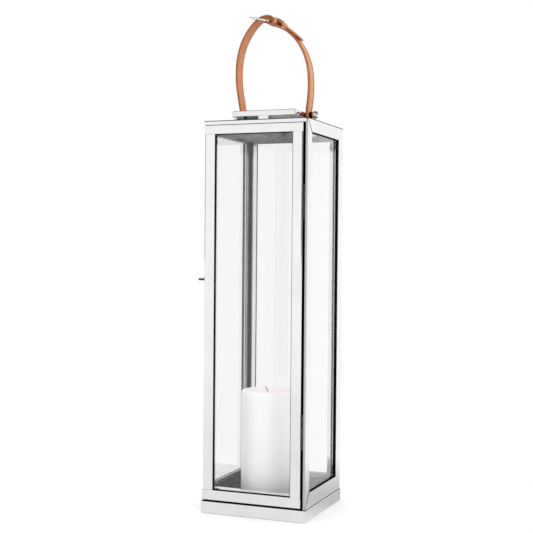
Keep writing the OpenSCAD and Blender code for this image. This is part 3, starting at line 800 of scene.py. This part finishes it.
def cutter_cylinder(radius, length, place):
    bm = bmesh.new()
    bmesh.ops.create_cone(bm, cap_ends=True, segments=CUTTER_SIDES, radius1=radius * MM,
                          radius2=radius * MM, depth=length * MM)
    cutter = link_mesh("cutter", bm)
    cutter.matrix_world = place
    return cutter


def cutter_box(size, place):
    bm = bmesh.new()
    bmesh.ops.create_cube(bm, size=1)
    bmesh.ops.scale(bm, vec=Vector(size) * MM, verts=bm.verts)
    cutter = link_mesh("cutter", bm)
    cutter.matrix_world = place
    return cutter


def punch(piece, cutters):
    for cutter in cutters:
        modifier = piece.modifiers.new("hole", "BOOLEAN")
        modifier.operation = "DIFFERENCE"
        modifier.solver = "EXACT"
        modifier.object = cutter
    settle(piece)
    for cutter in cutters:
        bpy.data.objects.remove(cutter)


def placed(x, z, heading):
    """Local +Z runs along the heading, local +X to its right, local +Y stays."""
    place = Matrix.Rotation(math.radians(heading), 4, "Y")
    place.translation = Vector((x, 0, z)) * MM
    return place


BUCKLE_TILT = 11.5
BUCKLE = placed(BAR_CENTRE[0], BAR_CENTRE[1], -90 + BUCKLE_TILT)
BUCKLE_LEN = 36.0
PRONG_W = 3.0
PRONG_T = 2.0
PRONG_PLAY = 1
PRONG_ROOT = 8
FAR_OFF = 1e9
BOLT_HOLE_R = 2.06
BOLT_CUT = 12
# The spare holes of the long strap: their radius, and how far past the prong they are
HOLE_R = 1.6
HOLE_OFFSETS = (30, 47)
# The slot where the short strap lets the prong through: through and along the strap
SLOT_CUT = (16, 14)
ACROSS = Matrix.Rotation(math.radians(90), 4, "Y")


def bolt_cutter(side):
    place = Matrix.Translation(Vector((side * PIVOT[0], 0, PIVOT[1])) * MM) @ ACROSS
    return cutter_cylinder(BOLT_HOLE_R, BOLT_CUT, place)


def prong_crossing():
    """Index of the long strap's point that is nearest to the prong's line."""
    return min(range(len(LONG_PATH)), key=lambda i: prong_distance(LONG_PATH[i]))


def prong_distance(point):
    """How far a point lies from the prong's line, or very far where the prong doesn't reach."""
    local = BUCKLE.inverted() @ Vector((point[0] * MM, 0, point[1] * MM))
    reach = local.z / MM
    if reach < PRONG_ROOT or reach > BUCKLE_LEN:
        return FAR_OFF
    return abs(local.x / MM - BAR_R - PRONG_T / 2)


def make_straps():
    long_strap = strap_mesh("strap_long_leather", LONG_PATH, False, "point")
    shaft = BUCKLE @ Matrix.Translation(Vector((BAR_R + PRONG_T / 2, 0, BUCKLE_LEN / 2)) * MM)
    slot_size = (PRONG_T + PRONG_PLAY, PRONG_W + PRONG_PLAY, BUCKLE_LEN + 6 * PRONG_PLAY)
    cutters = [bolt_cutter(-1), cutter_box(slot_size, shaft)]
    crossing = distances(LONG_PATH)[prong_crossing()]
    for offset in HOLE_OFFSETS:
        target = crossing + offset
        point = min(zip(LONG_PATH, distances(LONG_PATH)), key=lambda p: abs(p[1] - target))[0]
        cutters.append(cutter_cylinder(HOLE_R, 3 * STRAP_T, placed(*point) @ ACROSS))
    punch(long_strap, cutters)
    dress(long_strap, "strap_long")

    path = SHORT_PATH + wrap_path + fold_path
    short_strap = strap_mesh("strap_short_leather", path, True, "square")
    slot = BUCKLE @ Matrix.Translation(Vector((0, 0, -1)) * MM)
    slot_size = (SLOT_CUT[0], PRONG_W + PRONG_PLAY, SLOT_CUT[1])
    punch(short_strap, [bolt_cutter(1), cutter_box(slot_size, slot)])
    dress(short_strap, "strap_short")


def sweep(name, centres, frames, ring, closed, looks_of=None):
    """Sweeps a ring of 2-D points along centres; frames gives each centre's two axes."""
    bm = bmesh.new()
    looks = bm.verts.layers.float_color.new("look")
    rings = []
    for centre, (u, v) in zip(centres, frames):
        verts = []
        for a, b in ring:
            vert = bm.verts.new((centre + u * a + v * b) * MM)
            vert[looks] = looks_of(a, b) if looks_of else (0, 0, 0, 1)
            verts.append(vert)
        rings.append(verts)
    return skin(name, bm, rings, closed)


def rounded_box(width, height, radius, steps):
    """Points round a rectangle with rounded corners, centred on the origin."""
    points = []
    for quarter, (sx, sy) in enumerate(((1, 1), (-1, 1), (-1, -1), (1, -1))):
        cx, cy = sx * (width / 2 - radius), sy * (height / 2 - radius)
        for i in range(steps + 1):
            angle = 90 * (quarter + i / steps)
            points.append((cx + radius * cos(angle), cy + radius * sin(angle)))
    return points


def ring_frames(outline):
    """Outward and lengthwise axes for each point of a closed outline in local X and Y."""
    frames = []
    for i in range(len(outline)):
        before, after = outline[i - 1], outline[(i + 1) % len(outline)]
        run = Vector((after[0] - before[0], after[1] - before[1], 0)).normalized()
        frames.append((Vector((run.y, -run.x, 0)), Vector((0, 0, 1))))
    return frames


# Clearances round the keeper: on its inner side, its outer side and across the strap
KEEPER_INNER_GAP = 0.08
KEEPER_OUTER_GAP = 0.22
KEEPER_SIDE_GAP = 0.5
KEEPER_CORNER = 2.0
KEEPER_EDGE = 0.5
KEEPER_SHADE = 0.45
# Where the crease runs, measured from the keeper's middle, and how deep its shade is
CREASE_FROM = 2.2
CREASE_TO = 2.6
CREASE_SHADE = 0.8


def keeper_look(out, along):
    """Burnished edges, and a crease near them on the outer side."""
    edge = 1.0 if abs(along) > KEEPER_W / 2 - KEEPER_EDGE else KEEPER_SHADE
    crease = CREASE_SHADE if CREASE_FROM < abs(along) < CREASE_TO and out > 0 else 0
    return (edge, 0, crease, 1)


def make_keeper():
    point = back_point(KEEPER_AT)
    low = STRAP_T / 2 + KEEPER_INNER_GAP
    high = tail_out(KEEPER_AT) + STRAP_T / 2 + KEEPER_OUTER_GAP + KEEPER_T
    outline = rounded_box(high - low - KEEPER_T, STRAP_W + KEEPER_SIDE_GAP + KEEPER_T,
                          KEEPER_CORNER, 5)
    middle = (low + high) / 2
    centres = [Vector((x + middle, y, 0)) for x, y in outline]
    ring = rounded_box(KEEPER_T * 0.96, KEEPER_W, 0.6, 3)
    piece = sweep("keeper_leather", centres, ring_frames(outline), ring, True, keeper_look)
    piece.data.transform(placed(*point))
    dress(piece, "keeper_loop")


# ---- Handle: buckle -------------------------------------------------------------

BUCKLE_ARM = 4.0
BUCKLE_T = 3.5
BUCKLE_CORNER = 4.0
BUCKLE_PLAY = 1.8
BUCKLE_ROUND = 1.3
# Where a side arm begins, behind the bar, and its first point past the bar
ARM_START = -1.2
ARM_SECOND = 6
PRONG_BAR_GAP = 0.05
PRONG_OVERHANG = 1.6


def make_buckle():
    half = (STRAP_W + BUCKLE_PLAY + BUCKLE_ARM) / 2
    top = BUCKLE_LEN
    corner = BUCKLE_CORNER
    spine = [(-half, ARM_START), (-half, ARM_SECOND)]
    spine += [(-half, top * part) for part in (0.3, 0.5, 0.7)]
    for side, turns in ((-1, range(180, 89, -15)), (1, range(90, -1, -15))):
        spine += [(side * (half - corner) + corner * cos(a), top - corner + corner * sin(a))
                  for a in turns]
    spine += [(half, top * part) for part in (0.7, 0.5, 0.3)]
    spine += [(half, ARM_SECOND), (half, ARM_START)]
    centres, frames = [], []
    for i, (y, z) in enumerate(spine):
        before, after = spine[max(i - 1, 0)], spine[min(i + 1, len(spine) - 1)]
        run = Vector((0, after[0] - before[0], after[1] - before[1])).normalized()
        centres.append(Vector((0, y, z)))
        frames.append((Vector((1, 0, 0)), run.cross(Vector((1, 0, 0)))))
    frame_piece = sweep("buckle_frame_steel", centres, frames,
                        rounded_box(BUCKLE_T, BUCKLE_ARM, BUCKLE_ROUND, 4), False)
    frame_piece.data.transform(BUCKLE)
    dress(frame_piece, "buckle_frame")
    bar = sweep("buckle_bar_steel", [Vector((0, y, 0)) for y in (-half, -2, 2, half)],
                [(Vector((1, 0, 0)), Vector((0, 0, 1)))] * 4,
                [(BAR_R * cos(a), BAR_R * sin(a)) for a in range(0, 360, 15)], False)
    bar.data.transform(BUCKLE)
    bar.data.materials.append(MATERIALS["polished_steel"])
    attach(bar, "handle")


def make_prong():
    seat = BAR_R + PRONG_T / 2 + PRONG_BAR_GAP
    spine = [(seat * cos(a), seat * sin(a)) for a in range(-250, -9, 12)]
    rise = [(0, 0.0), (0.15, 0.2), (0.35, 0.35), (0.6, 0.25), (0.85, -0.15), (1.0, -0.3)]
    spine += [(seat + lift, part * (BUCKLE_LEN + PRONG_OVERHANG)) for part, lift in rise]
    centres, frames = [], []
    for i, (x, z) in enumerate(spine):
        before, after = spine[max(i - 1, 0)], spine[min(i + 1, len(spine) - 1)]
        run = Vector((after[0] - before[0], 0, after[1] - before[1])).normalized()
        narrow = 0.75 if i == len(spine) - 1 else 1.0
        centres.append(Vector((x, 0, z)))
        frames.append((run.cross(Vector((0, 1, 0))) * narrow, Vector((0, 1, 0)) * narrow))
    piece = sweep("prong_steel", centres, frames,
                  rounded_box(PRONG_T * 0.85, PRONG_W * 0.96, 0.6, 3), False)
    piece.data.transform(BUCKLE)
    dress(piece, "buckle_prong")


make_straps()
make_keeper()
make_buckle()
make_prong()


# ---- Candle ---------------------------------------------------------------------

def lathe(name, centre, profile, sides, waver):
    """Turns a profile of (radius, height, painted glow) round centre. waver(radius, height, angle)
    returns the point's small shift in radius and height."""
    bm = bmesh.new()
    looks = bm.verts.layers.float_color.new("look")
    rings = []
    for radius, height, melt_glow in profile:
        ring = []
        for i in range(sides):
            angle = 360 * i / sides
            dr, dz = waver(radius, height, angle)
            vert = bm.verts.new((centre.x + (radius + dr) * cos(angle),
                                 centre.y + (radius + dr) * sin(angle), centre.z + height + dz))
            vert[looks] = (melt_glow, 0, 0, 1)
            ring.append(vert)
        rings.append(ring)
    return skin(name, bm, rings)


# The candle's rim and melted dish: millimetres in from its wall and down from its top, and painted
# glow
CANDLE_TOP = ((0, 4, 0), (0.7, 1.8, 0), (2.2, 0.5, 0), (4, 0, 0.15), (6, 0.9, 0.6),
              (8, 2.6, 0.8), (12, 4.0, 0.5), (22, 4.6, 0.35), (38, 4.9, 0.3))
CANDLE_SIDES = 96
# How far the wall and the rim waver, and where the rim begins as a part of the height
WALL_WAVER = 0.25 * MM
RIM_WAVER = 1.1 * MM
RIM_START = 0.97
RIM_RUN = 0.03


def make_candle():
    """Pillar with eased foot, soft rim and a shallow dish melted round the wick."""
    low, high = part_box("candle")
    radius = (high.x - low.x) / 2
    tall = high.z - low.z
    centre = Vector(((low.x + high.x) / 2, 0, low.z))
    profile = [(radius - 2 * MM, 0.0, 0), (radius - 0.6 * MM, 0.5 * MM, 0), (radius, 2 * MM, 0)]
    profile += [(radius, tall * part, 0) for part in (0.2, 0.4, 0.6, 0.8)]
    profile += [(radius - inset * MM, tall - depth * MM, melt_glow) for inset, depth, melt_glow in CANDLE_TOP]
    profile += [(2.5 * MM, tall - 4.4 * MM, 0.5), (1.0 * MM, tall - 3.9 * MM, 0.6)]

    def waver(r, z, angle):
        spot = Vector((cos(angle), sin(angle), z * 8))
        rim = smooth((z / tall - RIM_START) / RIM_RUN) if r > radius / 2 else 0
        return (-WALL_WAVER * abs(noise.noise(spot * 1.3)),
                -RIM_WAVER * rim * abs(noise.noise(spot * 1.7 + Vector((4, 0, 0)))))

    piece = lathe("candle_wax_body", centre, profile, CANDLE_SIDES, waver)
    dress(piece, "candle")


WICK_SUNK = 8 * MM
WICK_STEPS = 16
WICK_LEAN = -4.2
WICK_TWIST = 260


def make_wick():
    """Braided cord of three strands, burnt short and leaning."""
    low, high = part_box("wick")
    candle_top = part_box("candle")[1].z
    foot = Vector(((low.x + high.x) / 2, 0, candle_top - WICK_SUNK)) / MM
    rise = high.z / MM - foot.z
    centres, frames = [], []
    for i in range(WICK_STEPS + 1):
        part = i / WICK_STEPS
        lean = WICK_LEAN * part ** 2
        centres.append(foot + Vector((lean, -1.0 * part ** 2, rise * part)))
        twist = WICK_TWIST * part
        frames.append((Vector((cos(twist), sin(twist), 0)), Vector((-sin(twist), cos(twist), 0))))
    ring = [((0.85 + 0.2 * cos(3 * a)) * cos(a), (0.85 + 0.2 * cos(3 * a)) * sin(a))
            for a in range(0, 360, 20)]
    dress(sweep("wick_braid", centres, frames, ring, False), "wick")


make_candle()
make_wick()


# ---- Studio -------------------------------------------------------------------

# The camera that fits the lantern's corners: sensor, lens and place in millimetres, the far
# limit in metres, and yaw to the left, pitch and roll in degrees
SENSOR = 36
LENS = 73.67
CAMERA_PLACE = (750.35, -1926.75, 489.31)
CAMERA_ANGLES = (21.698, -0.931, 0.473)
CAMERA_REACH = 50


def add_camera():
    data = bpy.data.cameras.new("camera")
    data.sensor_width = SENSOR
    data.lens = LENS
    data.clip_end = CAMERA_REACH
    yaw, pitch, roll = (math.radians(a) for a in CAMERA_ANGLES)
    forward = Vector((-math.sin(yaw) * math.cos(pitch), math.cos(yaw) * math.cos(pitch),
                      math.sin(pitch)))
    level = Vector((math.cos(yaw), math.sin(yaw), 0))
    upright = level.cross(forward)
    right = math.cos(roll) * level + math.sin(roll) * upright
    up = math.cos(roll) * upright - math.sin(roll) * level
    place = Matrix((right, up, -forward)).transposed().to_4x4()
    place.translation = Vector(CAMERA_PLACE) * MM
    camera = bpy.data.objects.new("camera", data)
    bpy.context.scene.collection.objects.link(camera)
    camera.matrix_world = place
    bpy.context.scene.camera = camera


FLOOR_SIZE = 40
# Where reflections see the floor darker, a painted reflection tone: towards the back and somewhat
# to the right
BEHIND = (0.36, 0.93, 0)


def add_floor():
    """Pale lit paper: it takes a soft shadow near the lantern and fades into the studio.

    Reflections see tones of their own, darker close to the lantern on the side BEHIND."""
    bm = bmesh.new()
    bmesh.ops.create_grid(bm, x_segments=8, y_segments=8, size=FLOOR_SIZE)
    floor = link_mesh("floor", bm)
    m = Nodes("floor_paper")
    tone = m.noise(3, 3)
    m.colour(m.mix(tone, (0.95, 0.95, 0.95), (0.97, 0.97, 0.97)))
    m.set(Roughness=0.9, Specular_IOR_Level=0.1)
    away = m.new("ShaderNodeVectorMath", operation="LENGTH")
    m.join(m.coords, away.inputs[0])
    glow = m.new("ShaderNodeEmission")
    glow.inputs["Color"].default_value = (1, 1, 1, 1)
    spread = m.new("ShaderNodeMixShader")
    m.join(m.remap(away.outputs["Value"], 0.16, 0.55, 0.35, 1), spread.inputs["Fac"])
    m.join(m.shader.outputs[0], spread.inputs[1])
    m.join(glow.outputs[0], spread.inputs[2])
    towards = m.new("ShaderNodeVectorMath", operation="DOT_PRODUCT")
    towards.inputs[1].default_value = BEHIND
    m.join(m.coords, towards.inputs[0])
    behind = m.remap(towards.outputs["Value"], -0.05, 0.1, 0, 1)
    ahead_tone = m.remap(away.outputs["Value"], 0.2, 2.6, 0.93, 1.08)
    behind_tone = m.remap(away.outputs["Value"], 0.2, 0.55, 0.62, 1.1)
    seen = m.new("ShaderNodeMix", data_type="FLOAT")
    m.join(behind, seen.inputs[0])
    m.join(ahead_tone, seen.inputs[2])
    m.join(behind_tone, seen.inputs[3])
    mirrored = m.new("ShaderNodeEmission")
    m.join(seen.outputs[0], mirrored.inputs["Strength"])
    rays = m.new("ShaderNodeLightPath")
    reflected = m.math("SUBTRACT", rays.outputs["Is Glossy Ray"],
                       rays.outputs["Is Transmission Ray"])
    both = m.new("ShaderNodeMixShader")
    m.join(m.math("MAXIMUM", reflected, 0.0), both.inputs["Fac"])
    m.join(spread.outputs[0], both.inputs[1])
    m.join(mirrored.outputs[0], both.inputs[2])
    m.join(both.outputs[0], m.out.inputs["Surface"])
    floor.data.materials.append(m.material)


STUDIO_SHADES = (
    # direction, how much darker, how narrow (a higher number is narrower)
    ((-1.0, 0.1, 0.05), 0.75, 4.0),
    ((0.62, -0.78, 0.0), 0.85, 12.0),
    ((0.95, -0.31, 0.0), 0.4, 3.0),
    ((0.0, 0.0, 1.0), 1.05, 1.6),
)
REFLECTED_LEVEL = 1.1
DARKEST_LEVEL = 0.04
LIGHTING_LEVEL = 1.2


def add_world():
    """White studio. Reflections see it darker overhead, to the left and on the right."""
    world = bpy.data.worlds.new("studio")
    bpy.context.scene.world = world
    world.use_nodes = True
    tree = world.node_tree
    tree.nodes.clear()

    def add(kind, operation=None, *values):
        node = tree.nodes.new(kind)
        if operation:
            node.operation = operation
        for socket, value in zip(node.inputs, values):
            if isinstance(value, bpy.types.NodeSocket):
                tree.links.new(value, socket)
            else:
                socket.default_value = value
        return node

    direction = add("ShaderNodeTexCoord").outputs["Generated"]
    level = REFLECTED_LEVEL
    for towards, depth, narrow in STUDIO_SHADES:
        dot = add("ShaderNodeVectorMath", "DOT_PRODUCT", direction, Vector(towards).normalized())
        clip = add("ShaderNodeMath", "MAXIMUM", dot.outputs["Value"], 0.0)
        power = add("ShaderNodeMath", "POWER", clip.outputs[0], narrow)
        scaled = add("ShaderNodeMath", "MULTIPLY", power.outputs[0], depth)
        level = add("ShaderNodeMath", "SUBTRACT", level, scaled.outputs[0]).outputs[0]
    lifted = add("ShaderNodeMath", "MAXIMUM", level, DARKEST_LEVEL)
    mirrored = add("ShaderNodeBackground")
    tree.links.new(lifted.outputs[0], mirrored.inputs["Strength"])
    rays = add("ShaderNodeLightPath")
    plain = add("ShaderNodeBackground")
    for background in (mirrored, plain):
        background.inputs["Color"].default_value = (1, 1, 1, 1)
    lighting = add("ShaderNodeMath", "MULTIPLY_ADD", rays.outputs["Is Diffuse Ray"],
                   LIGHTING_LEVEL - 1, 1.0)
    tree.links.new(lighting.outputs[0], plain.inputs["Strength"])
    glossy, through = rays.outputs["Is Glossy Ray"], rays.outputs["Is Transmission Ray"]
    reflected = add("ShaderNodeMath", "SUBTRACT", glossy, through)
    reflected.use_clamp = True
    mixer = add("ShaderNodeMixShader")
    tree.links.new(reflected.outputs[0], mixer.inputs["Fac"])
    tree.links.new(plain.outputs[0], mixer.inputs[1])
    tree.links.new(mirrored.outputs[0], mixer.inputs[2])
    out = add("ShaderNodeOutputWorld")
    tree.links.new(mixer.outputs[0], out.inputs["Surface"])


LIGHTS = (
    # name, place, watts, size
    ("key", (1.6, -1.6, 2.2), 14, 1.4),
    ("fill", (-1.8, -1.2, 1.4), 8, 1.6),
)
LIGHT_TARGET = Vector((0, 0, 0.5))


def add_lights():
    for name, place, power, size in LIGHTS:
        data = bpy.data.lights.new(name, "AREA")
        data.energy = power
        data.size = size
        light = bpy.data.objects.new(name, data)
        bpy.context.scene.collection.objects.link(light)
        light.location = place
        light.visible_glossy = False
        aim = LIGHT_TARGET - Vector(place)
        light.rotation_euler = aim.to_track_quat("-Z", "Y").to_euler()


add_camera()
add_floor()
add_world()
add_lights()
bpy.context.scene.view_settings.view_transform = "Standard"
